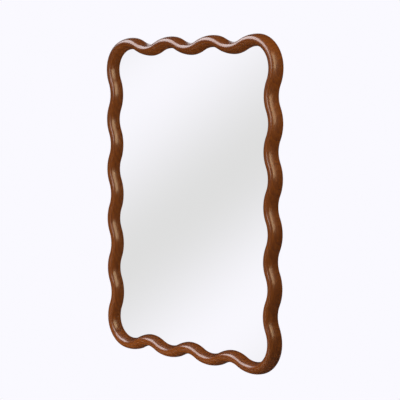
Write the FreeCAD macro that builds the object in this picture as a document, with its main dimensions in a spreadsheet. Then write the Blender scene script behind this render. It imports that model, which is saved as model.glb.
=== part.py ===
import FreeCAD, Part
import collections
import math
import os

import Sketcher

# A wavy wall mirror. Four wooden members are swept along a wave of tangent arcs and meet in
# doweled mitres. The looking glass lies in their rebate behind a lip, cushioned by foam and
# closed by a screwed backing board. Two strap hangers with swinging D rings carry the mirror,
# and four bumpers keep it off the wall.
# Millimetres, +Z up. The wall is the plane Y = 0, the mirror faces -Y, and the origin is the
# centre of the mirror's outline on the wall.

Vector = FreeCAD.Vector
Length = collections.namedtuple("Length", "number formula")
SAME_PLACE = 1e-6
document = FreeCAD.newDocument("WavyMirror")

# Driving sizes in millimetres, counts and degrees
SIZES = (
    # The frame's outline
    ("overall_width", 762),
    ("overall_height", 1016),
    ("corner_radius", 83.5),
    ("rail_waves", 3),
    ("stile_waves", 5),
    ("rail_wave_height", 22.5),
    ("stile_wave_height", 18),
    # The moulding's section
    ("face_width", 37),
    ("frame_depth", 43),
    ("nose_radius", 13),
    ("back_round", 6),
    ("lip_width", 7),
    ("ledge_width", 8),
    # What the rebate holds
    ("glass_thickness", 4),
    ("foam_thickness", 1),
    ("board_thickness", 3),
    ("glass_clearance", 1.5),
    ("board_clearance", 1),
    ("block_length", 24),
    ("block_play", 0.05),
    # Corner dowels
    ("dowel_diameter", 8),
    ("dowel_length", 40),
    ("dowel_chamfer", 0.8),
    ("dowel_play", 0.05),
    ("dowel_end_room", 1),
    ("back_dowel_depth", 15),
    ("front_dowel_depth", 28),
    # Screws of the backing board
    ("board_screw_diameter", 3),
    ("board_screw_length", 14),
    ("board_screw_head", 6),
    ("board_screw_crown", 2),
    # Screws of the hangers
    ("hanger_screw_diameter", 3.5),
    ("hanger_screw_length", 16),
    ("hanger_screw_head", 6.4),
    ("hanger_screw_crown", 2.2),
    # Shared by both screws
    ("screw_rim", 0.5),
    ("screw_tip", 3),
    ("screw_play", 0.05),
    ("pilot_end_room", 1),
    # Strap hangers and their rings; the shift hides a hanger behind the rounded outer edge
    ("hanger_shift", 3),
    ("strap_width", 9),
    ("strap_length", 37),
    ("strap_thickness", 1.2),
    ("strap_corner", 4),
    ("curl_gap_angle", 70),
    ("upper_screw_drop", 19.5),
    ("lower_screw_drop", 30.5),
    ("ring_wire", 2.5),
    ("ring_bar", 10.6),
    ("ring_corner", 2.5),
    ("ring_play", 0.08),
    ("ring_lean", 2.5),
    # Wall bumpers
    ("wall_gap", 6),
    ("bumper_diameter", 12),
    ("bumper_taper", 0.75),
    ("bumper_round", 1),
)

sheet = document.addObject("Spreadsheet::Sheet", "Sizes")
for row, (alias, amount) in enumerate(SIZES, start=1):
    sheet.set("A%d" % row, alias)
    sheet.set("B%d" % row, str(amount))
    sheet.setAlias("B%d" % row, alias)
worked = document.addObject("App::VarSet", "Worked")


def derive(holder, name, formula):
    """Keep a size that is worked out from others as a property of an object."""
    holder.addProperty("App::PropertyFloat", name)
    holder.setExpression(name, formula)


def value(name):
    """The present number of a size such as Sizes.face_width."""
    holder, key = name.split(".")
    return float(getattr(document.getObject(holder), key))


def total(*terms):
    """A length as a number and as a formula: the sum of factor times size."""
    number = sum(factor * value(name) for factor, name in terms)
    formula = " + ".join("%s * %s" % (factor, name) for factor, name in terms)
    return Length(number, formula)


NOTHING = Length(0.0, "")

# One wave is four quarters. A quarter and half the wave height give the radius of its arcs,
# and the mean line is where crest arcs and trough arcs meet.
SIDES = {"rail": ("overall_width", "overall_height"), "stile": ("overall_height", "overall_width")}
for side, (along, across) in SIDES.items():
    derive(worked, side + "_quarter",
           "(Sizes.%s - Sizes.face_width - 2 * Sizes.corner_radius) / (4 * round(Sizes.%s_waves))"
           % (along, side))
    derive(worked, side + "_swing", "Sizes.%s_wave_height / 2" % side)
    derive(worked, side + "_bow",
           "(%s_quarter ^ 2 + %s_swing ^ 2) / (2 * %s_swing)" % (side, side, side))
    derive(worked, side + "_line",
           "(Sizes.%s - Sizes.face_width) / 2 - %s_swing" % (across, side))

# The mitre cuts each corner arc in its middle, at 45 degrees.
derive(worked, "corner_reach", "Sizes.corner_radius * sqrt(0.5)")
derive(worked, "corner_drop", "Sizes.corner_radius * (1 - sqrt(0.5))")

# The domed front is a nose arc between two larger flank arcs that start at the glass.
derive(worked, "rebate_depth",
       "Sizes.glass_thickness + Sizes.foam_thickness + Sizes.board_thickness")
derive(worked, "half_face", "Sizes.face_width / 2")
derive(worked, "nose_rise", "Sizes.frame_depth - Sizes.nose_radius - rebate_depth")
derive(worked, "flank_radius",
       "(half_face ^ 2 + nose_rise ^ 2 - Sizes.nose_radius ^ 2)"
       " / (2 * (half_face - Sizes.nose_radius))")
derive(worked, "flank_rise", "flank_radius * nose_rise / (flank_radius - Sizes.nose_radius)")
derive(worked, "flank_inset",
       "flank_radius * (half_face - Sizes.nose_radius) / (flank_radius - Sizes.nose_radius)")

# The flat of the frame's back lies between the board's rebate and the rounded outer edge.
derive(worked, "flat_offset", "(Sizes.lip_width + Sizes.ledge_width - Sizes.back_round) / 2")
derive(worked, "curl_inner", "Sizes.ring_wire / 2 + Sizes.ring_play")
derive(worked, "curl_outer", "curl_inner + Sizes.strap_thickness")
for layer in ("inner", "outer"):
    derive(worked, "curl_%s_back" % layer, "curl_%s * cos(Sizes.curl_gap_angle)" % layer)
    derive(worked, "curl_%s_drop" % layer, "curl_%s * sin(Sizes.curl_gap_angle)" % layer)

# The edge of each sheet runs parallel to the centre line, its inset inside it. Where two arcs
# of the line meet, the inset moves the meeting point along by the shift and in by the drop.
GLASS_INSET = "half_face - Sizes.lip_width + Sizes.glass_clearance"
BOARD_INSET = "half_face - Sizes.lip_width - Sizes.ledge_width + Sizes.board_clearance"
INSETS = {"mirror_glass": GLASS_INSET, "foam_pad": GLASS_INSET, "backing_board": BOARD_INSET}
for label, formula in INSETS.items():
    derive(worked, label + "_inset", formula)
    for side in SIDES:
        share = "%s_inset / %s_bow" % (label, side)
        derive(worked, "%s_%s_shift" % (label, side), "%s * %s_quarter" % (share, side))
        derive(worked, "%s_%s_drop" % (label, side), "%s * (%s_bow - %s_swing)" % (share, side, side))

# A setting block fills the gap between the glass and the rebate's wall at a crest.
derive(worked, "block_wall_radius", "rail_bow - half_face + Sizes.lip_width - Sizes.block_play")
derive(worked, "block_edge_radius", "block_wall_radius - Sizes.glass_clearance + 2 * Sizes.block_play")

# The dome of a pan head rises from the rim to the crown.
for kind in ("board", "hanger"):
    dome_rise = "(Sizes.%s_screw_crown - Sizes.screw_rim)" % kind
    derive(worked, kind + "_screw_dome",
           "((Sizes.%s_screw_head / 2) ^ 2 + %s ^ 2) / (2 * %s)" % (kind, dome_rise, dome_rise))
document.recompute()

WAVES = {side: round(value("Sizes.%s_waves" % side)) for side in SIDES}

# How a sketch numbers its own axes, whose start is its origin, and the points of a curve
H_AXIS_INDEX = -1
V_AXIS_INDEX = -2
START_INDEX = 1
END_INDEX = 2
CENTRE_INDEX = 3


def origin_part(body, role):
    """An origin plane or axis of a body, by its role."""
    return next(part for part in body.Origin.OriginFeatures if part.Role == role)


def new_body(label):
    body = document.addObject("PartDesign::Body", label)
    body.Label = label
    return body


def new_sketch(body, name, role):
    sketch = body.newObject("Sketcher::SketchObject", name)
    sketch.AttachmentSupport = [(origin_part(body, role), "")]
    sketch.MapMode = "FlatFace"
    return sketch


def point_held(curve, vertex, across, along):
    """Constraints, each with its formula, that tie a point to its distances from the origin."""
    held = []
    for kind, axis, length in (("DistanceX", V_AXIS_INDEX, across), ("DistanceY", H_AXIS_INDEX, along)):
        if length.formula:
            sized = Sketcher.Constraint(kind, H_AXIS_INDEX, START_INDEX, curve, vertex, length.number)
            held.append((sized, length.formula))
        else:
            held.append((Sketcher.Constraint("PointOnObject", curve, vertex, axis), ""))
    return held


def radius_held(curve, radius):
    return Sketcher.Constraint("Radius", curve, radius.number), radius.formula


def constrain(sketch, held):
    """Add constraints to a sketch and tie the sized ones to their formulas."""
    first = sketch.ConstraintCount
    sketch.addConstraint([constraint for constraint, _ in held])
    for index, (_, formula) in enumerate(held, start=first):
        if formula:
            sketch.setExpression("Constraints[%d]" % index, formula)


def arc_between(start, finish, radius, turn):
    """The short arc from start to finish; turn is 1 to the left and -1 to the right."""
    chord = finish - start
    rise = math.sqrt(max(radius ** 2 - chord.Length ** 2 / 4, 0.0))
    left = Vector(-chord.y, chord.x, 0).normalize()
    centre = (start + finish) / 2 + left * rise * turn
    first, last = (start, finish) if turn > 0 else (finish, start)
    begin = math.atan2(first.y - centre.y, first.x - centre.x)
    sweep = (math.atan2(last.y - centre.y, last.x - centre.x) - begin) % (2 * math.pi)
    return Part.ArcOfCircle(Part.Circle(centre, Vector(0, 0, 1), radius), begin, begin + sweep)


def draw_outline(sketch, points, bends, closed=True):
    """Lines and arcs from point to point. A bend is None for a line, else a radius and a turn."""
    ends = []
    for index, bend in enumerate(bends):
        start, finish = (Vector(across.number, along.number, 0)
                         for across, along in (points[index], points[(index + 1) % len(points)]))
        if bend is None:
            sketch.addGeometry(Part.LineSegment(start, finish))
            ends.append((START_INDEX, END_INDEX))
        else:
            radius, turn = bend
            sketch.addGeometry(arc_between(start, finish, radius.number, turn))
            ends.append((START_INDEX, END_INDEX) if turn > 0 else (END_INDEX, START_INDEX))
    held = []
    for index in range(len(bends) if closed else len(bends) - 1):
        after = (index + 1) % len(bends)
        held.append((Sketcher.Constraint("Coincident", index, ends[index][1], after, ends[after][0]), ""))
    for index, bend in enumerate(bends):
        held += point_held(index, ends[index][0], *points[index])
        if bend is not None:
            held.append(radius_held(index, bend[0]))
    if not closed:
        held += point_held(len(bends) - 1, ends[-1][1], *points[-1])
    constrain(sketch, held)


def draw_circle(sketch, across, along, radius):
    circle = Part.Circle(Vector(across.number, along.number, 0), Vector(0, 0, 1), radius.number)
    index = sketch.addGeometry(circle)
    constrain(sketch, point_held(index, CENTRE_INDEX, across, along) + [radius_held(index, radius)])


def set_place(thing, across, depth, up):
    """Tie a placement's base to three lengths."""
    for axis, length in zip("xyz", (across, depth, up)):
        if length.formula:
            thing.setExpression("Placement.Base." + axis, length.formula)


def mirror_left(body, originals):
    """Complete a right half by its mirror image in the body's YZ plane."""
    mirrored = body.newObject("PartDesign::Mirrored", "LeftHalf")
    mirrored.Originals = originals
    mirrored.MirrorPlane = (origin_part(body, "YZ_Plane"), [""])
    body.Tip = mirrored
    return mirrored


def wave_run(side, inset=""):
    """Half a side, from its middle to the crest where the corner starts, as points and bends.

    inset names the sheet whose edge runs inside the centre line, or is empty for the line itself.
    """
    waves = WAVES[side]
    quarter, bow, line, swing = ("Worked.%s_%s" % (side, part)
                                 for part in ("quarter", "bow", "line", "swing"))

    def with_inset(terms, factor, name):
        return total(*terms, (factor, "Worked.%s_%s" % (inset, name))) if inset else total(*terms)

    def crest_sign(step):
        return 1 if (waves - step) % 2 == 0 else -1

    points = [(NOTHING, with_inset([(1, line), (crest_sign(0), swing)], -1, "inset"))]
    bends = []
    for step in range(waves + 1):
        sign = crest_sign(step)
        bends.append((with_inset([(1, bow)], -sign, "inset"), -sign))
        if step < waves:
            points.append((with_inset([(2 * step + 1, quarter)], -sign, side + "_shift"),
                           with_inset([(1, line)], -1, side + "_drop")))
    points.append((total((2 * waves, quarter)), with_inset([(1, line), (1, swing)], -1, "inset")))
    return points, bends


def depth_from_back(*terms):
    """The Y place that lies ahead of the frame's back by the given terms."""
    return total((-1, "Sizes.wall_gap"), *((-factor, name) for factor, name in terms))


def draw_section(sketch, side):
    """The moulding's section at the middle of a side: rounded back edge, dome, lip and ledge."""
    middle_sign = 1 if WAVES[side] % 2 == 0 else -1
    middle = [(1, "Worked.%s_line" % side), (middle_sign, "Worked.%s_swing" % side)]
    outer = middle + [(1, "Worked.half_face")]
    inner = middle + [(-1, "Worked.half_face")]
    rebate_wall = inner + [(1, "Sizes.lip_width")]
    board_wall = rebate_wall + [(1, "Sizes.ledge_width")]
    at_back = depth_from_back()
    at_board = depth_from_back((1, "Sizes.board_thickness"))
    at_glass = depth_from_back((1, "Worked.rebate_depth"))
    at_flank = depth_from_back((1, "Worked.rebate_depth"), (1, "Worked.flank_rise"))
    flank_inset = "Worked.flank_inset"
    points = [
        (at_back, total(*outer, (-1, "Sizes.back_round"))),
        (depth_from_back((1, "Sizes.back_round")), total(*outer)),
        (at_glass, total(*outer)),
        (at_flank, total(*outer, (-1, flank_inset))),
        (at_flank, total(*inner, (1, flank_inset))),
        (at_glass, total(*inner)),
        (at_glass, total(*rebate_wall)),
        (at_board, total(*rebate_wall)),
        (at_board, total(*board_wall)),
        (at_back, total(*board_wall)),
    ]
    back_edge = (total((1, "Sizes.back_round")), 1)
    flank = (total((1, "Worked.flank_radius")), 1)
    nose = (total((1, "Sizes.nose_radius")), 1)
    draw_outline(sketch, points, [back_edge, None, flank, nose, flank, None, None, None, None, None])


def corner_middle(side):
    """Where a side's centre line reaches the mitre."""
    across = total((2 * WAVES[side], "Worked.%s_quarter" % side), (1, "Worked.corner_reach"))
    up = total((1, "Worked.%s_line" % side), (1, "Worked.%s_swing" % side), (-1, "Worked.corner_drop"))
    return across, up


DOWEL_DEPTHS = ("back_dowel_depth", "front_dowel_depth")
MITRE_ANGLE = 45


def drill_dowel_holes(body, side):
    """Two holes square to the right-hand mitre, on the centre line."""
    across, up = corner_middle(side)
    sketch = new_sketch(body, "DowelHoleSketch", "YZ_Plane")
    sketch.AttachmentOffset = FreeCAD.Placement(Vector(), FreeCAD.Rotation(Vector(1, 0, 0), MITRE_ANGLE))
    sketch.setExpression("AttachmentOffset.Base.y", up.formula)
    sketch.setExpression("AttachmentOffset.Base.z", across.formula)
    radius = total((0.5, "Sizes.dowel_diameter"), (1, "Sizes.dowel_play"))
    for name in DOWEL_DEPTHS:
        draw_circle(sketch, depth_from_back((1, "Sizes." + name)), NOTHING, radius)
    return cut(body, "DowelHoles", sketch, Length="Sizes.dowel_length / 2 + Sizes.dowel_end_room")


def cut(body, name, sketch, **settings):
    """A pocket that has to take something away; a setting is a formula or a plain value."""
    document.recompute()
    before = body.Shape.Volume
    pocket = body.newObject("PartDesign::Pocket", name)
    pocket.Profile = sketch
    for key, setting in settings.items():
        if key == "Length":
            pocket.setExpression(key, setting)
        else:
            setattr(pocket, key, setting)
    document.recompute()
    if not body.Shape.Volume < before:
        raise RuntimeError("%s cut nothing from %s" % (name, body.Label))
    return pocket


def pilot_pocket(body, name, start, places, radius, depth):
    """Blind holes from a plane towards the front, at places of the body's XZ plane."""
    sketch = new_sketch(body, name + "Sketch", "XZ_Plane")
    sketch.setExpression("AttachmentOffset.Base.z", "-(%s)" % start.formula)
    for across, up in places:
        draw_circle(sketch, across, up, radius)
    return cut(body, name, sketch, Reversed=True, Length=depth)


def trough_height(side):
    """Where the backing board's screws stand: over the middle of the ledge at a trough."""
    return total((1, "Worked.%s_line" % side), (-1, "Worked.%s_swing" % side), (-1, "Worked.half_face"),
                 (1, "Sizes.lip_width"), (0.5, "Sizes.ledge_width"))


def screw_radius(kind):
    return total((0.5, "Sizes.%s_screw_diameter" % kind), (1, "Sizes.screw_play"))


def drill_board_pilots(body, side):
    """A pilot hole in the ledge at every trough."""
    waves = WAVES[side]
    quarter = "Worked.%s_quarter" % side
    first = (total((-2 * (waves - 1), quarter)) if waves > 1 else NOTHING, trough_height(side))
    pocket = pilot_pocket(
        body, "BoardPilot", depth_from_back((1, "Sizes.board_thickness")), [first], screw_radius("board"),
        "Sizes.board_screw_length - Sizes.board_thickness + Sizes.pilot_end_room")
    pattern = body.newObject("PartDesign::LinearPattern", "BoardPilots")
    pattern.Originals = [pocket]
    pattern.Direction = (origin_part(body, "X_Axis"), [""])
    pattern.Occurrences = waves
    pattern.setExpression("Length", "%d * %s" % (4 * (waves - 1), quarter))
    body.Tip = pattern
    document.recompute()


def hanger_place():
    """The hinge axis of a hanger: height along the stile, distance from the middle, and depth."""
    height = total((2 * (WAVES["stile"] - 2), "Worked.stile_quarter"), (0.5, "Sizes.strap_length"))
    out = total((1, "Worked.stile_line"), (1, "Worked.stile_swing"), (1, "Worked.flat_offset"),
                (-1, "Sizes.hanger_shift"))
    depth = total((-1, "Sizes.wall_gap"), (1, "Worked.curl_outer"))
    return height, out, depth


SCREW_DROPS = ("upper_screw_drop", "lower_screw_drop")


def drill_hanger_pilots(body, hand):
    """Two pilot holes in the flat of a stile's back; hand is the side of the body they lie on."""
    height, out, _ = hanger_place()
    places = []
    for drop in SCREW_DROPS:
        below = total((1, "Sizes." + drop))
        along = Length(hand * (height.number - below.number),
                       "%d * (%s - (%s))" % (hand, height.formula, below.formula))
        places.append((along, out))
    pilot_pocket(body, "HangerPilot", depth_from_back(), places, screw_radius("hanger"),
                 "Sizes.hanger_screw_length - Sizes.strap_thickness + Sizes.pilot_end_room")


def member(label, side, turn, hanger_hand=0):
    """A rail or stile, modelled as the top of the frame and turned about Y to its place."""
    body = new_body(label)
    points, bends = wave_run(side)
    points.append(corner_middle(side))
    bends.append((total((1, "Sizes.corner_radius")), -1))
    path = new_sketch(body, "Wave", "XZ_Plane")
    draw_outline(path, points, bends, closed=False)
    section = new_sketch(body, "Section", "YZ_Plane")
    draw_section(section, side)
    document.recompute()
    pipe = body.newObject("PartDesign::AdditivePipe", "Moulding")
    pipe.Profile = section
    pipe.Spine = (path, [])
    document.recompute()
    mirror_left(body, [pipe, drill_dowel_holes(body, side)])
    document.recompute()
    drill_board_pilots(body, side)
    if hanger_hand:
        drill_hanger_pilots(body, hanger_hand)
    body.Placement = FreeCAD.Placement(Vector(), FreeCAD.Rotation(Vector(0, 1, 0), turn))
    return body


def wavy_sheet(label, back, thickness):
    """A flat sheet whose edge runs parallel to the frame's centre line; a quarter, mirrored twice."""
    body = new_body(label)
    top_points, top_bends = wave_run("rail", label)
    side_points, side_bends = wave_run("stile", label)
    corner = (total((1, "Sizes.corner_radius"), (-1, "Worked.%s_inset" % label)), -1)
    points = top_points + [(up, along) for along, up in reversed(side_points)] + [(NOTHING, NOTHING)]
    bends = top_bends + [corner] + side_bends[::-1] + [None, None]
    sketch = new_sketch(body, "QuarterOutline", "XZ_Plane")
    sketch.setExpression("AttachmentOffset.Base.z", back)
    draw_outline(sketch, points, bends)
    document.recompute()
    pad = body.newObject("PartDesign::Pad", "Quarter")
    pad.Profile = sketch
    pad.setExpression("Length", thickness)
    document.recompute()
    whole = body.newObject("PartDesign::MultiTransform", "Whole")
    whole.Originals = [pad]
    mirrors = []
    for role in ("YZ_Plane", "XY_Plane"):
        mirrored = body.newObject("PartDesign::Mirrored", "About" + role)
        mirrored.MirrorPlane = (origin_part(body, role), [""])
        mirrors.append(mirrored)
    whole.Transformations = mirrors
    body.Tip = whole
    document.recompute()
    return body


def drill_board_holes(body):
    """Clearance holes in the backing board, one for each screw place."""
    sketch = new_sketch(body, "ScrewHoleSketch", "XZ_Plane")
    for across, up in board_screw_places():
        draw_circle(sketch, across, up, screw_radius("board"))
    cut(body, "ScrewHoles", sketch, Type="ThroughAll", Midplane=True)


def board_screw_places():
    """The screws' places in the mirror's XZ plane, at the troughs of all four sides."""
    places = []
    for side in SIDES:
        out = trough_height(side)
        for step in range(1 - WAVES[side], WAVES[side], 2):
            along = total((2 * step, "Worked.%s_quarter" % side)) if step else NOTHING
            for hand in (1, -1):
                reach = Length(hand * out.number, "%d * (%s)" % (hand, out.formula))
                places.append((along, reach) if side == "rail" else (reach, along))
    return places


def screw(kind):
    """A pan-head screw along Y, with its head's underside at the origin and its point towards -Y."""
    body = new_body(kind + "_screw")
    size = "Sizes.%s_screw_" % kind
    head = total((0.5, size + "head"))
    shank = total((0.5, size + "diameter"))
    points = [
        (NOTHING, total((-1, size + "length"))),
        (shank, total((-1, size + "length"), (1, "Sizes.screw_tip"))),
        (shank, NOTHING),
        (head, NOTHING),
        (head, total((1, "Sizes.screw_rim"))),
        (NOTHING, total((1, size + "crown"))),
    ]
    crown = (total((1, "Worked.%s_screw_dome" % kind)), 1)
    sketch = new_sketch(body, "HalfSection", "XY_Plane")
    draw_outline(sketch, points, [None, None, None, None, crown, None])
    revolve(body, sketch)
    return body


def revolve(body, sketch):
    document.recompute()
    turned = body.newObject("PartDesign::Revolution", "Turned")
    turned.Profile = sketch
    turned.ReferenceAxis = (origin_part(body, "Y_Axis"), [""])
    turned.Angle = 360
    document.recompute()
    return turned


def group(label, piece, places, rotations=None):
    """Copies of a piece at places, as one node of separate solids."""
    copies = []
    for index, (across, depth, up) in enumerate(places):
        copy = document.addObject("App::Link", "%s_%d" % (label, index + 1))
        copy.LinkedObject = piece
        if rotations:
            copy.Placement = FreeCAD.Placement(Vector(), rotations[index])
        set_place(copy, across, depth, up)
        copies.append(copy)
    together = document.addObject("Part::Compound", label)
    together.Label = label
    together.Links = copies
    return together


def corner_dowel():
    """A beech dowel along Z with chamfered ends, its middle at the origin."""
    body = new_body("corner_dowel")
    sketch = new_sketch(body, "Round", "XY_Plane")
    draw_circle(sketch, NOTHING, NOTHING, total((0.5, "Sizes.dowel_diameter")))
    document.recompute()
    rod = body.newObject("PartDesign::Pad", "Rod")
    rod.Profile = sketch
    rod.Midplane = True
    rod.setExpression("Length", "Sizes.dowel_length")
    document.recompute()
    rims = ["Edge%d" % (index + 1) for index, edge in enumerate(rod.Shape.Edges)
            if isinstance(edge.Curve, Part.Circle)]
    ends = body.newObject("PartDesign::Chamfer", "Ends")
    ends.Base = (rod, rims)
    ends.setExpression("Size", "Sizes.dowel_chamfer")
    document.recompute()
    return body


def corner_dowels():
    """Two dowels in each mitre."""
    across, up = corner_middle("rail")
    places = []
    rotations = []
    for hand in (1, -1):
        for level in (1, -1):
            for name in DOWEL_DEPTHS:
                places.append((Length(hand * across.number, "%d * (%s)" % (hand, across.formula)),
                               depth_from_back((1, "Sizes." + name)),
                               Length(level * up.number, "%d * (%s)" % (level, up.formula))))
                rotations.append(FreeCAD.Rotation(Vector(0, 0, 1), Vector(-hand * level, 0, 1)))
    return group("corner_dowels", corner_dowel(), places, rotations)


def setting_block():
    """A rubber pad between the glass's edge and the rebate, round the axis of a crest's arc."""
    body = new_body("setting_block")
    back = depth_from_back((1, "Sizes.board_thickness"), (1, "Sizes.foam_thickness"))
    front = depth_from_back((1, "Worked.rebate_depth"), (-1, "Sizes.block_play"))
    wall = total((-1, "Worked.block_wall_radius"))
    edge = total((-1, "Worked.block_edge_radius"))
    sketch = new_sketch(body, "PadSection", "YZ_Plane")
    draw_outline(sketch, [(back, wall), (back, edge), (front, edge), (front, wall)], [None] * 4)
    turned = revolve(body, sketch)
    turned.Midplane = True
    turned.setExpression("Angle", "Sizes.block_length / Worked.block_wall_radius * 180 / pi")
    document.recompute()
    return body


def setting_blocks():
    """Two blocks under the glass, in the crests beside the middle of the bottom rail."""
    step = 2 - WAVES["rail"] % 2
    height = total((-1, "Worked.rail_line"), (-1, "Worked.rail_swing"), (1, "Worked.rail_bow"))
    places = [(total((2 * hand * step, "Worked.rail_quarter")), NOTHING, height) for hand in (1, -1)]
    return group("setting_blocks", setting_block(), places)


def curl_end(layer):
    """Where the inner or outer face of the curl stops, short of the strap."""
    return total((-1, "Worked.curl_%s_back" % layer)), total((-1, "Worked.curl_%s_drop" % layer))


def hanger_strap(label, hand):
    """A steel strap whose upper end is curled round the ring's bar. Its origin is the hinge axis."""
    body = new_body(label)
    outer = total((1, "Worked.curl_outer"))
    inner = total((1, "Worked.curl_inner"))
    low = total((-1, "Sizes.strap_length"))
    at_frame = total((-1, "Worked.curl_outer"))
    at_ring = total((-1, "Worked.curl_inner"))
    points = [(at_frame, low), (at_frame, NOTHING), (NOTHING, outer), (outer, NOTHING), curl_end("outer"),
              curl_end("inner"), (inner, NOTHING), (NOTHING, inner), (at_ring, NOTHING), (at_ring, low)]
    bends = [None] + [(outer, -1)] * 3 + [None] + [(inner, 1)] * 3 + [None, None]
    sketch = new_sketch(body, "CurlSection", "YZ_Plane")
    draw_outline(sketch, points, bends)
    document.recompute()
    pad = body.newObject("PartDesign::Pad", "Strap")
    pad.Profile = sketch
    pad.Midplane = True
    pad.setExpression("Length", "Sizes.strap_width")
    document.recompute()
    holes = new_sketch(body, "ScrewHoleSketch", "XZ_Plane")
    for drop in SCREW_DROPS:
        draw_circle(holes, NOTHING, total((-1, "Sizes." + drop)), screw_radius("hanger"))
    pocket = cut(body, "ScrewHoles", holes, Type="ThroughAll", Midplane=True)
    lowest = -value("Sizes.strap_length")
    corners = ["Edge%d" % (index + 1) for index, edge in enumerate(pocket.Shape.Edges)
               if edge.BoundBox.ZMax - lowest < SAME_PLACE and edge.BoundBox.XLength < SAME_PLACE]
    rounded = body.newObject("PartDesign::Fillet", "LowerEnd")
    rounded.Base = (pocket, corners)
    rounded.setExpression("Radius", "Sizes.strap_corner")
    height, out, depth = hanger_place()
    set_place(body, Length(hand * out.number, "%d * (%s)" % (hand, out.formula)), depth, height)
    document.recompute()
    return body


def hanger_ring(label, hand):
    """A D ring of wire: a straight bar in the strap's curl and a half round below it."""
    body = new_body(label)
    bar = total((0.5, "Sizes.ring_bar"))
    wide = total((0.5, "Sizes.ring_bar"), (1, "Sizes.ring_corner"))
    points = [(NOTHING, NOTHING), (bar, NOTHING), (wide, total((-1, "Sizes.ring_corner"))),
              (NOTHING, total((-0.5, "Sizes.ring_bar"), (-2, "Sizes.ring_corner")))]
    bends = [None, (total((1, "Sizes.ring_corner")), -1), (wide, -1)]
    path = new_sketch(body, "HalfRing", "XZ_Plane")
    draw_outline(path, points, bends, closed=False)
    section = new_sketch(body, "Wire", "YZ_Plane")
    draw_circle(section, NOTHING, NOTHING, total((0.5, "Sizes.ring_wire")))
    document.recompute()
    pipe = body.newObject("PartDesign::AdditivePipe", "HalfWire")
    pipe.Profile = section
    pipe.Spine = (path, [])
    document.recompute()
    mirror_left(body, [pipe])
    lean = FreeCAD.Rotation(Vector(1, 0, 0), value("Sizes.ring_lean"))
    body.Placement = FreeCAD.Placement(Vector(), lean)
    height, out, depth = hanger_place()
    set_place(body, Length(hand * out.number, "%d * (%s)" % (hand, out.formula)), depth, height)
    document.recompute()
    return body


def hanger_screws(label, piece, hand):
    """The two screws of one hanger, seated on its strap."""
    height, out, _ = hanger_place()
    seat = total((-1, "Sizes.wall_gap"), (1, "Sizes.strap_thickness"))
    across = Length(hand * out.number, "%d * (%s)" % (hand, out.formula))
    places = []
    for drop in SCREW_DROPS:
        below = total((1, "Sizes." + drop))
        up = Length(height.number - below.number, "%s - (%s)" % (height.formula, below.formula))
        places.append((across, seat, up))
    return group(label, piece, places)


def wall_bumper(label, hand, level):
    """A tapered rubber foot on the flat of a rail's back, where the corner starts."""
    body = new_body(label)
    foot = total((0.5, "Sizes.bumper_diameter"))
    shoulder = total((0.5, "Sizes.bumper_diameter"), (-1, "Sizes.bumper_taper"))
    tread = total((0.5, "Sizes.bumper_diameter"), (-1, "Sizes.bumper_taper"), (-1, "Sizes.bumper_round"))
    base = total((-1, "Sizes.wall_gap"))
    points = [(NOTHING, base), (foot, base), (shoulder, total((-1, "Sizes.bumper_round"))),
              (tread, NOTHING), (NOTHING, NOTHING)]
    bends = [None, None, (total((1, "Sizes.bumper_round")), 1), None, None]
    sketch = new_sketch(body, "HalfSection", "XY_Plane")
    draw_outline(sketch, points, bends)
    revolve(body, sketch)
    across = total((2 * hand * WAVES["rail"], "Worked.rail_quarter"))
    up = total((level, "Worked.rail_line"), (level, "Worked.rail_swing"), (level, "Worked.flat_offset"))
    set_place(body, across, NOTHING, up)
    return body


HANDS = (("left", -1), ("right", 1))
LEVELS = (("top", 1), ("bottom", -1))

nodes = [
    member("top_rail", "rail", 0),
    member("right_stile", "stile", 90, hanger_hand=-1),
    member("bottom_rail", "rail", 180),
    member("left_stile", "stile", -90, hanger_hand=1),
    corner_dowels(),
    wavy_sheet("mirror_glass", "Sizes.wall_gap + Sizes.board_thickness + Sizes.foam_thickness",
               "Sizes.glass_thickness"),
    wavy_sheet("foam_pad", "Sizes.wall_gap + Sizes.board_thickness", "Sizes.foam_thickness"),
    setting_blocks(),
]

backing_board = wavy_sheet("backing_board", "Sizes.wall_gap", "Sizes.board_thickness")
drill_board_holes(backing_board)
board_seat = total((-1, "Sizes.wall_gap"))
nodes.append(backing_board)
nodes.append(group("board_screws", screw("board"),
                   [(across, board_seat, up) for across, up in board_screw_places()]))

hanger_screw = screw("hanger")
for hand_name, hand in HANDS:
    nodes.append(hanger_strap(hand_name + "_hanger_strap", hand))
    nodes.append(hanger_ring(hand_name + "_hanger_ring", hand))
    nodes.append(hanger_screws(hand_name + "_hanger_screws", hanger_screw, hand))
for level_name, level in LEVELS:
    for hand_name, hand in HANDS:
        nodes.append(wall_bumper("%s_%s_bumper" % (level_name, hand_name), hand, level))

document.recompute()
for thing in document.Objects:
    if "Invalid" in thing.State or "Error" in thing.State:
        raise RuntimeError("%s failed: %s" % (thing.Label, thing.State))

os.makedirs("parts", exist_ok=True)
for node in nodes:
    shape = node.Shape
    if shape.isNull() or not shape.isValid() or not shape.Solids:
        raise RuntimeError(node.Label + " has no valid solid")
for node in nodes:
    node.Shape.exportStep("parts/%s.step" % node.Label)
    box = node.Shape.BoundBox
    print("%-22s %2d solids %10.1f mm3  X %.1f %.1f  Y %.1f %.1f  Z %.1f %.1f" % (
        node.Label, len(node.Shape.Solids), node.Shape.Volume,
        box.XMin, box.XMax, box.YMin, box.YMax, box.ZMin, box.ZMax))
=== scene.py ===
# %% [markdown]
# # A wavy wall mirror
# This lesson dresses a wall mirror whose wooden frame runs in waves round soft corners. The
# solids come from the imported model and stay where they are. Here they get their finishes, the
# screws get their cross recesses, and a plain studio is set up around them.

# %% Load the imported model
import math

import bmesh
import bpy
from mathutils import Matrix, Vector


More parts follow.
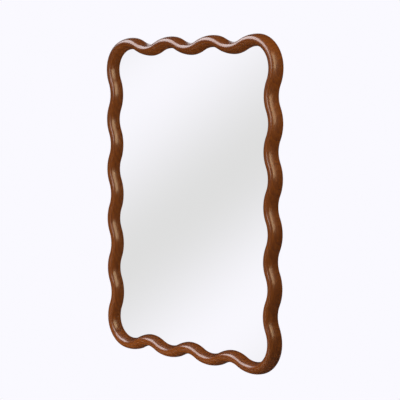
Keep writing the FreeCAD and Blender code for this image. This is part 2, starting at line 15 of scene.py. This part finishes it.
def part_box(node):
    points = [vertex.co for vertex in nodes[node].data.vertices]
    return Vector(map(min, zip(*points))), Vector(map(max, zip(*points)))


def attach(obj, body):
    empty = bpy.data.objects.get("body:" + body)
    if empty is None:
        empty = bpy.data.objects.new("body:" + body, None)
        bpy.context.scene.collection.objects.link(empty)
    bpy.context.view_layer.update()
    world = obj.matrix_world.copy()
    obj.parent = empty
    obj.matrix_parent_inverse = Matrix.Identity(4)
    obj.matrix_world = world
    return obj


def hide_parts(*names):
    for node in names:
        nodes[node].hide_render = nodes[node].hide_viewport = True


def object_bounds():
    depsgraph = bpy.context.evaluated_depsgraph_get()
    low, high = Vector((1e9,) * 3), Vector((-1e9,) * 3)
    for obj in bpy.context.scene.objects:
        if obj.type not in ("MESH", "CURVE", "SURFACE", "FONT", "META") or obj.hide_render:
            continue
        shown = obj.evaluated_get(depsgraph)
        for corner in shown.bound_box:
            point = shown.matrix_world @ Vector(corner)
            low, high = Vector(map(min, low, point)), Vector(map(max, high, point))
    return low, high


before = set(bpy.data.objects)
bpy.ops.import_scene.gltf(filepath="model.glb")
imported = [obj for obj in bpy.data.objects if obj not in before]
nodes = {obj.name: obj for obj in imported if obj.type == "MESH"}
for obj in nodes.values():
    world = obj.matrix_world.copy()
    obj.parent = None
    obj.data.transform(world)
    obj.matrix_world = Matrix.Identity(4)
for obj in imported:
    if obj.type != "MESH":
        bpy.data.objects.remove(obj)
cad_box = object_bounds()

MM = 0.001
lowest, highest = cad_box
print("loaded", len(nodes), "nodes; the mirror measures",
      [round(side / MM, 1) for side in highest - lowest], "mm")

# %% [markdown]
# ## The camera
# The photograph was taken from the right, a little above the mirror's middle, with a long lens
# that hardly narrows the far side. A camera can be placed by its coordinates, but an angle, a
# distance and a point to aim at say more about the picture, so the place is worked out from
# them. The same helpers then place and aim the lamps.

# %% Camera at the photograph's angle
CAMERA_TURN = 46.2
CAMERA_HEIGHT = 4.8
CAMERA_DISTANCE = 4.38
CAMERA_AIM = Vector((0.01, 0.0105, -0.0016))
CAMERA_LENS = 126.3


def way_from(turn, height):
    """The direction to something seen so many degrees to the right and up, facing the mirror."""
    turn, height = math.radians(turn), math.radians(height)
    return Vector((math.sin(turn) * math.cos(height), -math.cos(turn) * math.cos(height),
                   math.sin(height)))


def place_facing(thing, way, distance, aim):
    thing.location = aim + way * distance
    thing.rotation_euler = way.to_track_quat("Z", "Y").to_euler()
    bpy.context.scene.collection.objects.link(thing)


camera_data = bpy.data.cameras.new("photo_camera")
camera_data.lens = CAMERA_LENS
camera = bpy.data.objects.new("photo_camera", camera_data)
place_facing(camera, way_from(CAMERA_TURN, CAMERA_HEIGHT), CAMERA_DISTANCE, CAMERA_AIM)
bpy.context.scene.camera = camera
print("camera at", [round(part, 3) for part in camera.location], "m")

# %% [markdown]
# ## Helpers for shader nodes
# A material is a small graph of nodes. One helper makes a node, sets its options and fills its
# inputs, where a socket given as an input becomes a link. The others build on it: they do sums,
# stretch a value to a new range, make a noise and mix two colours. They keep each finish below
# short enough to read in one go.


# %% Node helpers
def fill(tree, socket, amount):
    if isinstance(amount, bpy.types.NodeSocket):
        tree.links.new(amount, socket)
    else:
        socket.default_value = amount


def add_node(tree, kind, inputs=None, **options):
    made = tree.nodes.new(kind)
    for option, setting in options.items():
        setattr(made, option, setting)
    for name, amount in (inputs or {}).items():
        fill(tree, made.inputs[name], amount)
    return made


def arithmetic(tree, operation, *amounts):
    made = add_node(tree, "ShaderNodeMath", dict(enumerate(amounts)), operation=operation)
    return made.outputs[0]


def spread(tree, amount, start, end, to_start=0.0, to_end=1.0):
    """The amount between start and end, stretched and clamped to a new range."""
    return add_node(tree, "ShaderNodeMapRange",
                    {"Value": amount, "From Min": start, "From Max": end,
                     "To Min": to_start, "To Max": to_end}).outputs[0]


def between(tree, share, start, end):
    """A value that goes from start to end while the share goes from 0 to 1."""
    return spread(tree, share, 0, 1, start, end)


def noise(tree, vector, scale, detail, **inputs):
    return add_node(tree, "ShaderNodeTexNoise",
                    {"Vector": vector, "Scale": scale, "Detail": detail, **inputs}).outputs[0]


def mix_colours(tree, factor, first, second):
    made = add_node(tree, "ShaderNodeMix", {"Factor": factor}, data_type="RGBA")
    colours = [socket for socket in made.inputs if socket.type == "RGBA"]
    fill(tree, colours[0], first)
    fill(tree, colours[1], second)
    return [socket for socket in made.outputs if socket.type == "RGBA"][0]


print("node helpers ready")

# %% [markdown]
# ## The studio's air
# The photograph is cut out on a white page that leans to lavender, and its glass shows a pale
# grey band from corner to corner, as a big diffuser gives. In Blender the world is what a ray
# meets when it misses everything, and Light Path tells what kind of ray it is. The camera, clear
# glass and the mirror's own sharp reflections see the page at a level of 1. Blurred reflections
# see a much dimmer room, because a white one would veil the dark lacquer, and the lamps below
# draw its highlights instead. Diffuse rays find a moderate sky, so that shaded sides don't go
# black. The band is a cosine of the ray's direction, so it belongs to the room, not the glass.

# %% World
PAGE_WHITE = (0.956, 0.947, 1.0, 1.0)
BAND_GREY = (0.745, 0.745, 0.745, 1.0)
BAND_AXIS = (0.489, -0.417, -0.767)
BAND_PITCH = 0.17
PAGE_LEVEL = 1
SKY_LEVEL = 0.12
SHEEN_LEVEL = 0.02

world = bpy.data.worlds.new("studio")
world.use_nodes = True
bpy.context.scene.world = world
air = world.node_tree
air.nodes.clear()
ray = add_node(air, "ShaderNodeLightPath").outputs
sees_page = arithmetic(air, "MAXIMUM", ray["Is Camera Ray"], ray["Is Singular Ray"])
sees_page = arithmetic(air, "MAXIMUM", sees_page, ray["Is Transmission Ray"])
room_level = between(air, ray["Is Glossy Ray"], SKY_LEVEL, SHEEN_LEVEL)
level = between(air, sees_page, room_level, PAGE_LEVEL)
heading = add_node(air, "ShaderNodeTexCoord").outputs["Generated"]
across = add_node(air, "ShaderNodeVectorMath", {0: heading, 1: BAND_AXIS},
                  operation="DOT_PRODUCT")
phase = arithmetic(air, "MULTIPLY", across.outputs["Value"], 2 * math.pi / BAND_PITCH)
band = spread(air, arithmetic(air, "COSINE", phase), -1, 1)
band = arithmetic(air, "MULTIPLY", band, ray["Is Singular Ray"])
background = add_node(air, "ShaderNodeBackground",
                      {"Color": mix_colours(air, band, PAGE_WHITE, BAND_GREY), "Strength": level})
add_node(air, "ShaderNodeOutputWorld", {"Surface": background.outputs[0]})
bpy.context.scene.view_settings.view_transform = "Standard"
print(f"page level {PAGE_LEVEL}, sky level {SKY_LEVEL} and sheen level {SHEEN_LEVEL}")

# %% [markdown]
# ## A lamp and what it reaches
# A softbox is a glowing rectangle, and its power grows with its area. Here it is set by its glow
# instead, where 1 is as bright as the page. A photographer keeps a lamp's shine and its light
# apart with flags and grids. In Blender each lamp has a switch for shiny and one for dull
# surfaces, and light linking names the pieces that it reaches. Every lamp leaves out the mirror,
# which would show it as a bright panel.


# %% Softbox helper
def all_but(*names):
    """A collection for light linking that leaves out the named nodes."""
    reached = bpy.data.collections.new("all_but_" + names[0])
    for count, name in enumerate(names):
        reached.objects.link(nodes[name])
        reached.collection_objects[count].light_linking.link_state = "EXCLUDE"
    return reached


def only(name, *names):
    """A collection for light linking that holds the named nodes and no other piece."""
    reached = bpy.data.collections.new(name)
    for node_name in names:
        reached.objects.link(nodes[node_name])
    return reached


HANGER_PARTS = ("left_hanger_strap", "left_hanger_ring",
                "right_hanger_strap", "right_hanger_ring")
all_but_glass = all_but("mirror_glass")
plated_pieces = only("plated_pieces", *HANGER_PARTS)


def softbox(name, turn, height, size, glow, colour, shines=True, lights=True, distance=2.6,
            receivers=all_but_glass):
    data = bpy.data.lights.new(name, "AREA")
    data.shape = "RECTANGLE"
    data.size, data.size_y = size
    data.energy = glow * math.pi * size[0] * size[1]
    data.color = colour
    lamp = bpy.data.objects.new(name, data)
    lamp.visible_camera = False
    lamp.visible_glossy = shines
    lamp.visible_diffuse = lights
    lamp.light_linking.receiver_collection = receivers
    place_facing(lamp, way_from(turn, height), distance, Vector((0, 0, 0)))
    print(name, round(data.energy, 1), "W")


print("softbox helper ready")

# %% [markdown]
# ## Lamps that shine
# Lacquer is read by its highlights, and a highlight is the picture of a lamp. The photograph has
# a pale line along the rails, so a long bank hangs high on the left. Each stretch of the stiles
# that leans to the right has two thin lines, a pale one and a tan one, so a tall strip stands on
# either side of the camera. A dim bank behind draws the grey edge on the back of the top rail.
# It leaves out the bottom rail, whose inner side can't see behind the glass. The plated parts on
# the back see a bank of their own, because metal is as bright as what it reflects.

# %% Shining lamps
COOL = (0.96, 0.96, 1.0)
CREAM = (1.0, 0.95, 0.88)
TAN = (1.0, 0.77, 0.46)
softbox("overhead_bank", turn=-42, height=48, size=(3.4, 2.0), glow=3.8, colour=COOL,
        lights=False)
softbox("left_strip", turn=14, height=28, size=(0.55, 2.2), glow=4.2, colour=CREAM,
        lights=False)
softbox("right_strip", turn=81, height=26, size=(0.8, 2.0), glow=3.4, colour=TAN,
        lights=False)
softbox("rim_bank", turn=-134, height=20, size=(2.0, 1.0), glow=1.0, colour=COOL,
        receivers=all_but("bottom_rail", "mirror_glass"))
softbox("hardware_bank", turn=180, height=10, size=(3.6, 2.6), glow=1.1, colour=COOL,
        receivers=plated_pieces)

# %% [markdown]
# ## Lamps that only light
# The brown of the wood is diffuse light, and it is softer in the photograph than the highlights
# are. One fill comes from above, so that the stretches that lean away from it stay darker, one
# from the camera's right, and one from below, which gives the undersides their orange glow. A
# real mirror also throws the light from above down on the bottom rail. Traced that way it would
# come out as bright specks, so a fill that reaches only that rail stands in for it. The last one
# lights the back.

# %% Fills
WARM = (1.0, 0.95, 0.8)
softbox("top_fill", turn=20, height=66, size=(1.6, 1.6), glow=3.0, colour=WARM,
        shines=False, distance=2.2)
softbox("front_fill", turn=75, height=25, size=(1.1, 1.1), glow=2.2, colour=WARM,
        shines=False, distance=1.5)
softbox("low_fill", turn=-25, height=-35, size=(2.0, 0.8), glow=5.0, colour=WARM,
        shines=False, distance=1.7)
softbox("bounce_fill", turn=10, height=80, size=(1.6, 1.6), glow=3.5, colour=WARM,
        shines=False, distance=2.2, receivers=only("lower_member", "bottom_rail"))
softbox("rear_fill", turn=180, height=15, size=(2.0, 2.0), glow=3.5, colour=WARM,
        shines=False)

# %% [markdown]
# ## The floor
# A wall mirror hangs at eye height, so the floor lies a good way below it and outside the
# photograph. It is a disc made from one circle. It throws some light back up to the undersides,
# as a pale studio floor does.

# %% Floor disc
FLOOR_DROP = 1.5
FLOOR_RADIUS = 2.4
FLOOR_SIDES = 96


def mesh_object(name, shape):
    mesh = bpy.data.meshes.new(name)
    shape.to_mesh(mesh)
    shape.free()
    made = bpy.data.objects.new(name, mesh)
    bpy.context.scene.collection.objects.link(made)
    return made


disc = bmesh.new()
bmesh.ops.create_circle(disc, cap_ends=True, segments=FLOOR_SIDES, radius=FLOOR_RADIUS)
bmesh.ops.translate(disc, verts=disc.verts, vec=(0, 0, -FLOOR_DROP))
floor = mesh_object("floor", disc)
floor.visible_glossy = False
print("floor", FLOOR_DROP, "m below the middle of the mirror")

# %% [markdown]
# ## The floor's paint
# The paint is a pale matte with a faint mottle, and towards the rim it fades until it is clear,
# so that no edge shows. The camera also sees a share of the plain page in it, so that the floor
# stays nearly as white as the page and keeps only a faint shading.

# %% Floor paint
PAGE_SHARE = 0.65
FADE_START = 0.4 * FLOOR_RADIUS
FLOOR_GREY = (0.84, 0.84, 0.88, 1)
FLOOR_PALE = (0.88, 0.88, 0.92, 1)

floor_paint = bpy.data.materials.new("floor_paint")
floor_paint.use_nodes = True
paint = floor_paint.node_tree
paint.nodes.clear()
place = add_node(paint, "ShaderNodeTexCoord").outputs["Object"]
flat = add_node(paint, "ShaderNodeVectorMath", {0: place, 1: (1, 1, 0)}, operation="MULTIPLY")
reach = add_node(paint, "ShaderNodeVectorMath", {0: flat.outputs[0]}, operation="LENGTH")
fade = add_node(paint, "ShaderNodeMapRange",
                {"Value": reach.outputs["Value"], "From Min": FADE_START,
                 "From Max": FLOOR_RADIUS}, interpolation_type="SMOOTHSTEP").outputs[0]
floor_tone = mix_colours(paint, noise(paint, place, scale=6, detail=3), FLOOR_GREY, FLOOR_PALE)
matte = add_node(paint, "ShaderNodeBsdfDiffuse", {"Color": floor_tone})
page = add_node(paint, "ShaderNodeEmission", {"Color": PAGE_WHITE})
floor_ray = add_node(paint, "ShaderNodeLightPath").outputs
seen = arithmetic(paint, "MULTIPLY", floor_ray["Is Camera Ray"], PAGE_SHARE)
pale = add_node(paint, "ShaderNodeMixShader", {0: seen, 1: matte.outputs[0], 2: page.outputs[0]})
clear = add_node(paint, "ShaderNodeBsdfTransparent")
rim = add_node(paint, "ShaderNodeMixShader", {0: fade, 1: pale.outputs[0], 2: clear.outputs[0]})
add_node(paint, "ShaderNodeOutputMaterial", {"Surface": rim.outputs[0]})
floor.data.materials.append(floor_paint)
print("the floor fades out from", round(FADE_START, 2), "m to", FLOOR_RADIUS, "m")

# %% [markdown]
# ## Node groups
# Some effects are shared: the figure of wood runs through the frame and the dowels, and a fine
# mottle suits rubber, foam and board alike. A node group holds such an effect once. A group
# only gives out values here, and each material keeps its own shader.


# %% Helper for groups
def new_group(name, inputs, outputs):
    group = bpy.data.node_groups.new(name, "ShaderNodeTree")
    for label, kind in inputs.items():
        group.interface.new_socket(label, in_out="INPUT", socket_type=kind)
    for label in outputs:
        group.interface.new_socket(label, in_out="OUTPUT", socket_type="NodeSocketFloat")
    given = add_node(group, "NodeGroupInput").outputs
    wanted = add_node(group, "NodeGroupOutput").inputs
    return group, given, wanted


def stretched(tree, vector, scale):
    return add_node(tree, "ShaderNodeMapping", {"Vector": vector, "Scale": scale}).outputs[0]


print("group helper ready")

# %% [markdown]
# ## The figure of wood
# A board shows its year rings as long bands, short fibres as streaks and open pores as dark
# dashes, all drawn out along the grain. A picture of wood could be wrapped round the frame,
# but it would stretch at every wave. Noise and a wave in space, squeezed across the grain, run
# through the solid as the tree did, so the shaped surface cuts them as a router would.

# %% Wood figure group
RING_SQUEEZE = (0.1, 1, 1)
STREAK_SQUEEZE = (6, 400, 400)
PORE_SQUEEZE = (45, 1500, 1500)
STREAK_RANGE = (0.3, 0.7)
PORE_RANGE = (0.6, 0.72)

wood_figure, grain_in, grain_out = new_group(
    "wood_figure", {"Vector": "NodeSocketVector"}, ("Rings", "Streaks", "Pores"))
grain = grain_in["Vector"]
rings = add_node(wood_figure, "ShaderNodeTexWave",
                 {"Vector": stretched(wood_figure, grain, RING_SQUEEZE), "Scale": 40,
                  "Distortion": 2.5, "Detail": 2.0, "Detail Scale": 0.7},
                 wave_type="RINGS", rings_direction="X", wave_profile="SAW").outputs["Fac"]
streaks = noise(wood_figure, stretched(wood_figure, grain, STREAK_SQUEEZE), scale=1, detail=4,
                Roughness=0.6)
pores = noise(wood_figure, stretched(wood_figure, grain, PORE_SQUEEZE), scale=1, detail=1)
fill(wood_figure, grain_out["Rings"], rings)
fill(wood_figure, grain_out["Streaks"], spread(wood_figure, streaks, *STREAK_RANGE))
fill(wood_figure, grain_out["Pores"], spread(wood_figure, pores, *PORE_RANGE))
print("wood figure has", len(wood_figure.nodes), "nodes")

# %% [markdown]
# ## Helpers for finishes
# Every finish starts the same way: one Principled shader, and the place of the shaded point in
# the object's own coordinates, which move with the piece. The second helper puts a finish on
# named nodes. The third tells the back of a piece from its front by depth, so that one solid
# can have more than one surface.


# %% Finish helpers
def new_finish(name):
    material = bpy.data.materials.new(name)
    material.use_nodes = True
    tree = material.node_tree
    tree.nodes.clear()
    shader = add_node(tree, "ShaderNodeBsdfPrincipled")
    add_node(tree, "ShaderNodeOutputMaterial", {"Surface": shader.outputs["BSDF"]})
    place = add_node(tree, "ShaderNodeTexCoord").outputs["Object"]
    return material, tree, shader.inputs, place


def dress(material, *names):
    for name in names:
        nodes[name].data.materials.clear()
        nodes[name].data.materials.append(material)
    print(material.name, "on", ", ".join(names))


def depth_mask(tree, place, start, end):
    """0 in front of the depth called start, 1 behind the depth called end."""
    depth = add_node(tree, "ShaderNodeSeparateXYZ", {0: place}).outputs["Y"]
    return spread(tree, depth, start, end)


print("finish helpers ready")

# %% [markdown]
# ## Stained and lacquered wood
# The frame is stained red-brown and sprayed with satin lacquer. The stain takes darker in the
# late wood, and the flat back is stained but never rubbed down. The grain runs straight along
# each member, as the boards were cut before the waves were shaped, so the stiles use the same
# figure turned upright. Lacquer is the shader's clear coat.

# %% Stained wood
WOOD_DARK = (0.115, 0.022, 0.002, 1)
WOOD_LIGHT = (0.28, 0.075, 0.004, 1)
PORE_DARK = (0.06, 0.014, 0.004, 1)
BACK_STAIN = (0.17, 0.055, 0.016, 1)
RING_SHARE = 0.6
TONE_RANGE = (-0.2, 1.8)
PORE_SHARE = 0.25
BACK_SHARE = 0.5
SATIN_ROUGHNESS = (0.46, 0.4)
BACK_ROUGHNESS = 0.7
FRONT_LACQUER, BACK_LACQUER = 1, 0.1
BACK_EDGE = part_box("top_rail")[1].y
BACK_START, BACK_END = BACK_EDGE - 1.5 * MM, BACK_EDGE - 0.3 * MM


def stained_wood(name, turn):
    material, tree, surface, place = new_finish(name)
    along = add_node(tree, "ShaderNodeMapping", {"Vector": place, "Rotation": turn}).outputs[0]
    figure = add_node(tree, "ShaderNodeGroup", {"Vector": along}, node_tree=wood_figure).outputs
    tone = arithmetic(tree, "MULTIPLY_ADD", figure["Rings"], RING_SHARE, figure["Streaks"])
    colour = mix_colours(tree, spread(tree, tone, *TONE_RANGE), WOOD_DARK, WOOD_LIGHT)
    pore_tint = arithmetic(tree, "MULTIPLY", figure["Pores"], PORE_SHARE)
    colour = mix_colours(tree, pore_tint, colour, PORE_DARK)
    back = depth_mask(tree, place, BACK_START, BACK_END)
    back_tone = arithmetic(tree, "MULTIPLY", back, BACK_SHARE)
    fill(tree, surface["Base Color"], mix_colours(tree, back_tone, colour, BACK_STAIN))
    satin = between(tree, figure["Streaks"], *SATIN_ROUGHNESS)
    fill(tree, surface["Roughness"], between(tree, back, satin, BACK_ROUGHNESS))
    fill(tree, surface["Coat Weight"], between(tree, back, FRONT_LACQUER, BACK_LACQUER))
    bump = add_node(tree, "ShaderNodeBump",
                    {"Height": figure["Pores"], "Strength": 0.005, "Distance": 0.3 * MM},
                    invert=True)
    fill(tree, surface["Normal"], bump.outputs[0])
    surface["Specular IOR Level"].default_value = 0.2
    surface["Coat Roughness"].default_value = 0.24
    surface["Coat IOR"].default_value = 1.8
    return material


dress(stained_wood("rail_wood", (0, 0, 0)), "top_rail", "bottom_rail")
dress(stained_wood("stile_wood", (0, math.radians(90), 0)), "left_stile", "right_stile")

# %% [markdown]
# ## The glass
# Mirror glass is silvered on its back and painted over the silver, and its edges are ground.
# The model has it as one solid, so the finish is chosen by depth: silver on the front face,
# green-grey ground glass round the edge and paint behind. The silver has no roughness at all,
# so it shows the page. The photograph's glass is clean of the frame's reflection, so the
# pieces are left out of what reflections see.

# %% Silvered glass
GLASS_FRONT, GLASS_BACK = (corner.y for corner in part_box("mirror_glass"))
SKIN_START, SKIN_END = 0.1 * MM, 0.3 * MM
SILVER = (0.985, 0.985, 0.985, 1)
GROUND_EDGE = (0.42, 0.55, 0.5, 1)
BACK_PAINT = (0.2, 0.22, 0.24, 1)
EDGE_ROUGHNESS = 0.5

silvered, tree, surface, place = new_finish("silvered_glass")
past_front = depth_mask(tree, place, GLASS_FRONT + SKIN_START, GLASS_FRONT + SKIN_END)
past_edge = depth_mask(tree, place, GLASS_BACK - SKIN_END, GLASS_BACK - SKIN_START)
colour = mix_colours(tree, past_front, SILVER, GROUND_EDGE)
fill(tree, surface["Base Color"], mix_colours(tree, past_edge, colour, BACK_PAINT))
fill(tree, surface["Metallic"], between(tree, past_front, 1, 0))
fill(tree, surface["Roughness"], arithmetic(tree, "MULTIPLY", past_front, EDGE_ROUGHNESS))
dress(silvered, "mirror_glass")
for node in nodes.values():
    node.visible_glossy = False
nodes["mirror_glass"].visible_diffuse = False

# %% [markdown]
# ## Beech dowels
# Two plain beech pins cross each mitre and never see daylight. They still get their own wood,
# because the model may be taken apart: the same figure as the frame, pale and unstained.

# %% Beech
BEECH_DARK = (0.56, 0.36, 0.2, 1)
BEECH_LIGHT = (0.74, 0.55, 0.35, 1)
BEECH_ROUGHNESS = (0.7, 0.55)
FLECK_SHARE = -0.4

beech, tree, surface, place = new_finish("beech")
figure = add_node(tree, "ShaderNodeGroup", {"Vector": place}, node_tree=wood_figure).outputs
fleck = arithmetic(tree, "MULTIPLY_ADD", figure["Pores"], FLECK_SHARE, figure["Streaks"])
fill(tree, surface["Base Color"], mix_colours(tree, fleck, BEECH_DARK, BEECH_LIGHT))
fill(tree, surface["Roughness"], between(tree, figure["Streaks"], *BEECH_ROUGHNESS))
dress(beech, "corner_dowels")

# %% [markdown]
# ## A mottle for dull pieces
# Board, foam and rubber are all dull and slightly uneven. A large soft noise stands for handling
# marks and a fine one for fibres or pores, so one group with a size input serves them all.

# %% Mottle group
SPECK_RATIO = 30
MOTTLE_RANGE = (0.35, 0.65)

mottle_group, mottle_in, mottle_out = new_group(
    "dull_mottle", {"Vector": "NodeSocketVector", "Size": "NodeSocketFloat"},
    ("Cloud", "Speck"))
cloud = noise(mottle_group, mottle_in["Vector"], mottle_in["Size"], detail=4)
speck_size = arithmetic(mottle_group, "MULTIPLY", mottle_in["Size"], SPECK_RATIO)
speck = noise(mottle_group, mottle_in["Vector"], speck_size, detail=2)
fill(mottle_group, mottle_out["Cloud"], spread(mottle_group, cloud, *MOTTLE_RANGE))
fill(mottle_group, mottle_out["Speck"], spread(mottle_group, speck, *MOTTLE_RANGE))
print("mottle has", len(mottle_group.nodes), "nodes")

# %% [markdown]
# ## Board, foam and rubber
# The back of the mirror is closed by a black-faced fibreboard. Foam presses the glass forward,
# two rubber blocks carry it and four rubber bumpers keep the frame off the wall. The four
# finishes differ in the size of the mottle, its two colours, how rough they are and how much of
# the fine noise can be felt.

# %% Dull finishes
SPECK_SHARE = 0.5


def dull_finish(name, size, dark, light, rough, relief):
    material, tree, surface, place = new_finish(name)
    mottle = add_node(tree, "ShaderNodeGroup", {"Vector": place, "Size": size},
                      node_tree=mottle_group).outputs
    tone = arithmetic(tree, "MULTIPLY_ADD", mottle["Speck"], SPECK_SHARE, mottle["Cloud"])
    colour = mix_colours(tree, spread(tree, tone, 0, 1 + SPECK_SHARE), dark, light)
    fill(tree, surface["Base Color"], colour)
    fill(tree, surface["Roughness"], between(tree, mottle["Cloud"], *rough))
    bump = add_node(tree, "ShaderNodeBump",
                    {"Height": mottle["Speck"], "Strength": relief, "Distance": 0.1 * MM})
    fill(tree, surface["Normal"], bump.outputs[0])
    return material


dress(dull_finish("black_faced_board", size=14, dark=(0.026, 0.025, 0.024, 1),
                  light=(0.04, 0.038, 0.035, 1), rough=(0.6, 0.72), relief=0.2),
      "backing_board")
dress(dull_finish("foam", size=60, dark=(0.7, 0.7, 0.67, 1),
                  light=(0.88, 0.88, 0.86, 1), rough=(0.85, 0.95), relief=0.6),
      "foam_pad")
dress(dull_finish("setting_rubber", size=120, dark=(0.03, 0.03, 0.03, 1),
                  light=(0.07, 0.07, 0.07, 1), rough=(0.7, 0.85), relief=0.3),
      "setting_blocks")
dress(dull_finish("bumper_rubber", size=150, dark=(0.045, 0.045, 0.047, 1),
                  light=(0.1, 0.1, 0.1, 1), rough=(0.55, 0.75), relief=0.2),
      "top_left_bumper", "top_right_bumper", "bottom_left_bumper", "bottom_right_bumper")

# %% [markdown]
# ## Plated hardware
# Strap hangers and their rings are pressed steel with a warm nickel plating, and the screws
# are zinc plated, which is cooler and duller. Plating follows fine drawing lines of the metal
# and clouds over where it is touched. The lines are a noise squeezed across one direction, the
# clouds a plain noise, and both mostly change the roughness, because that is what the eye
# reads on metal.

# %% Plating
LINE_SQUEEZE = (4000, 4000, 250)
LINE_RANGE = (0.3, 0.7)
CLOUD_RANGE = (0.35, 0.7)
LINE_SHARE = 0.5

plating_group, plating_in, plating_out = new_group(
    "plating_wear", {"Vector": "NodeSocketVector"}, ("Lines", "Cloud"))
lines = noise(plating_group, stretched(plating_group, plating_in["Vector"], LINE_SQUEEZE),
              scale=1, detail=2)
haze = noise(plating_group, plating_in["Vector"], scale=220, detail=3)
fill(plating_group, plating_out["Lines"], spread(plating_group, lines, *LINE_RANGE))
fill(plating_group, plating_out["Cloud"], spread(plating_group, haze, *CLOUD_RANGE))


def plated(name, bright, clouded, rough):
    material, tree, surface, place = new_finish(name)
    wear = add_node(tree, "ShaderNodeGroup", {"Vector": place}, node_tree=plating_group).outputs
    fill(tree, surface["Base Color"], mix_colours(tree, wear["Cloud"], bright, clouded))
    wear_sum = arithmetic(tree, "MULTIPLY_ADD", wear["Lines"], LINE_SHARE, wear["Cloud"])
    fill(tree, surface["Roughness"], spread(tree, wear_sum, 0, 1 + LINE_SHARE, *rough))
    surface["Metallic"].default_value = 1
    return material


dress(plated("nickel", bright=(0.76, 0.73, 0.67, 1), clouded=(0.62, 0.59, 0.53, 1),
             rough=(0.22, 0.42)), *HANGER_PARTS)
zinc = plated("zinc", bright=(0.72, 0.73, 0.73, 1), clouded=(0.58, 0.59, 0.58, 1),
              rough=(0.28, 0.5))

# %% [markdown]
# ## Tools for the screws' recesses
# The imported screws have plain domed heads, but a driver needs a cross to grip. A recess could be
# drawn as a dark mark, which would look flat from the side, so it is cut. These tools find the
# top of each head and make one tapered bar to cut with. A bar is a cube, scaled to size and then
# narrowed at the end that goes into the head, as the tip of a driver is.

# %% Recess tools
RECESS_LENGTH = 3.6 * MM
RECESS_WIDTH = 0.95 * MM
RECESS_DEPTH = 1.3 * MM
RECESS_TAPER = 0.55


def loose_parts(shape):
    """The separate shells of a bmesh, each as a list of vertices in a fixed order."""
    seen = set()
    for first in shape.verts:
        if first in seen:
            continue
        seen.add(first)
        part, waiting = [], [first]
        while waiting:
            vertex = waiting.pop()
            part.append(vertex)
            for edge in vertex.link_edges:
                other = edge.other_vert(vertex)
                if other not in seen:
                    seen.add(other)
                    waiting.append(other)
        yield part


def head_crowns(screws):
    """The top of each screw's head, in rows from the lowest up."""
    crowns = []
    for part in loose_parts(screws):
        top = max(vertex.co.y for vertex in part)
        middle = sum((vertex.co for vertex in part), Vector()) / len(part)
        crowns.append(Vector((middle.x, top, middle.z)))
    return sorted(crowns, key=lambda crown: (round(crown.z, 3), round(crown.x, 3)))


def recess_arm(shape, crown, turn):
    """One tapered bar across a screw's head, deep enough to clear the crown."""
    arm = bmesh.ops.create_cube(shape, size=1)["verts"]
    bmesh.ops.scale(shape, verts=arm, vec=(RECESS_LENGTH, 2 * RECESS_DEPTH, RECESS_WIDTH))
    inner = [vertex for vertex in arm if vertex.co.y < 0]
    bmesh.ops.scale(shape, verts=inner, vec=(RECESS_TAPER, 1, RECESS_TAPER))
    bmesh.ops.rotate(shape, verts=arm, matrix=Matrix.Rotation(turn, 3, "Y"))
    bmesh.ops.translate(shape, verts=arm, vec=crown)


print("each recess is", round(RECESS_LENGTH / MM, 2), "mm long and", round(RECESS_DEPTH / MM, 2),
      "mm deep")

# %% [markdown]
# ## Cutting and shading
# Two Boolean modifiers take the two arms of the cross out of every head. Each screw stopped at
# its own turn when it was driven, so the crosses are turned by a fixed step from one to the next.
# The cut mesh then replaces the modifiers, the slivers that the cuts leave are closed up, and
# edges that turn by more than 35 degrees are shaded sharp.

# %% Cutting tools
TURN_STEP = 2.4
SHARP_ANGLE = math.radians(35)
SLIVER = 0.004 * MM


def cut_recesses(piece, crowns):
    cutters = []
    for quarter in (0, math.pi / 2):
        arms = bmesh.new()
        for count, crown in enumerate(crowns):
            recess_arm(arms, crown, count * TURN_STEP + quarter)
        cutters.append(mesh_object("recess_cutter", arms))
        cut = piece.modifiers.new("recess", "BOOLEAN")
        cut.operation = "DIFFERENCE"
        cut.solver = "EXACT"
        cut.object = cutters[-1]
    bpy.context.view_layer.update()
    shown = piece.evaluated_get(bpy.context.evaluated_depsgraph_get())
    finished = bpy.data.meshes.new_from_object(shown)
    piece.modifiers.clear()
    piece.data = finished
    for cutter in cutters:
        bpy.data.objects.remove(cutter)


def clean_and_shade(mesh):
    shape = bmesh.new()
    shape.from_mesh(mesh)
    bmesh.ops.dissolve_degenerate(shape, dist=SLIVER, edges=shape.edges)
    for face in shape.faces:
        face.smooth = True
        face.material_index = 0
    for edge in shape.edges:
        edge.smooth = edge.calc_face_angle(0) < SHARP_ANGLE
    shape.to_mesh(mesh)
    shape.free()


print("crosses turn by", round(math.degrees(TURN_STEP), 1), "degrees from screw to screw")

# %% [markdown]
# ## Screws with cross recesses
# A copy of each set of screws has its doubled points merged, so that every screw is one closed
# skin, and is then cut. The cut screws stand in for the plain ones, ride on the same body and get
# the zinc plating.

# %% Recessed screws
WELD = 0.001 * MM

for node_name in ("board_screws", "left_hanger_screws", "right_hanger_screws"):
    screws = bmesh.new()
    screws.from_mesh(nodes[node_name].data)
    bmesh.ops.remove_doubles(screws, verts=screws.verts, dist=WELD)
    crowns = head_crowns(screws)
    piece = mesh_object(node_name.replace("screws", "cross_screws"), screws)
    cut_recesses(piece, crowns)
    clean_and_shade(piece.data)
    piece.data.materials.clear()
    piece.data.materials.append(zinc)
    piece.visible_glossy = False
    plated_pieces.objects.link(piece)
    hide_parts(node_name)
    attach(piece, "frame")
    print(piece.name, "has", len(crowns), "recessed heads and", len(piece.data.polygons), "faces")
